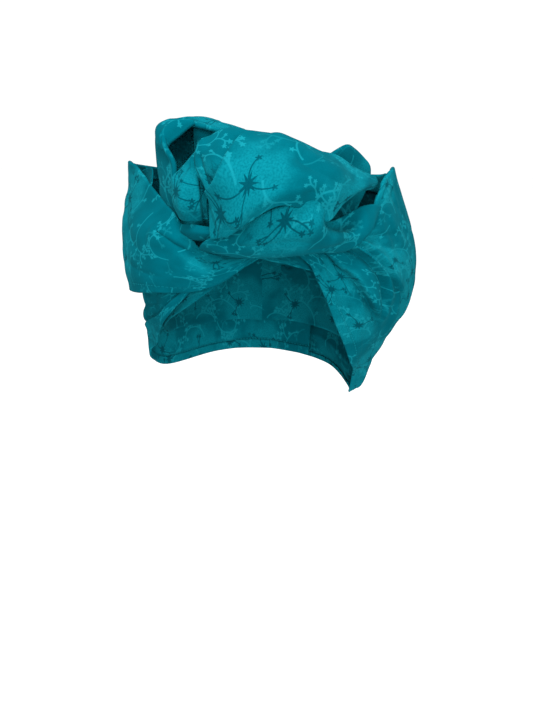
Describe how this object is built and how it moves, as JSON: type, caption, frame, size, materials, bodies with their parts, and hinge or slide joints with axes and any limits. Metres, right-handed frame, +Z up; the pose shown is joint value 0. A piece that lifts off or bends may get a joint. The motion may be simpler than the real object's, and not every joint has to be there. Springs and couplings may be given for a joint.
{
  "type": "turban headwrap",
  "caption": "Knotted turban headwrap: a long printed cotton scarf wound round the crown, with wings at the sides, a pleated side and a knot with a loop at the front.",
  "frame": {"origin": "top of the head, on the inside of the crown layer", "axes": "+Z up, the wearer looks along -Y, +X to the right of someone who faces the wrap"},
  "size_m": [0.2258, 0.258, 0.2373],
  "materials": {
    "printed_cloth": "fine cotton twill, teal with a tone-on-tone sprig print",
    "inner_cloth": "the same cotton twill, in its darker first layer"
  },
  "bodies": {
    "root": {"crown_layer": "inner_cloth", "left_wing": "printed_cloth", "left_band": "printed_cloth", "right_panel": "printed_cloth", "knot_upper_fold": "printed_cloth", "knot_lower_fold": "printed_cloth", "tall_loop": "printed_cloth", "inner_tuck": "printed_cloth", "side_fold": "printed_cloth", "rear_layer": "printed_cloth", "back_fold": "printed_cloth"}
  },
  "joints": []
}
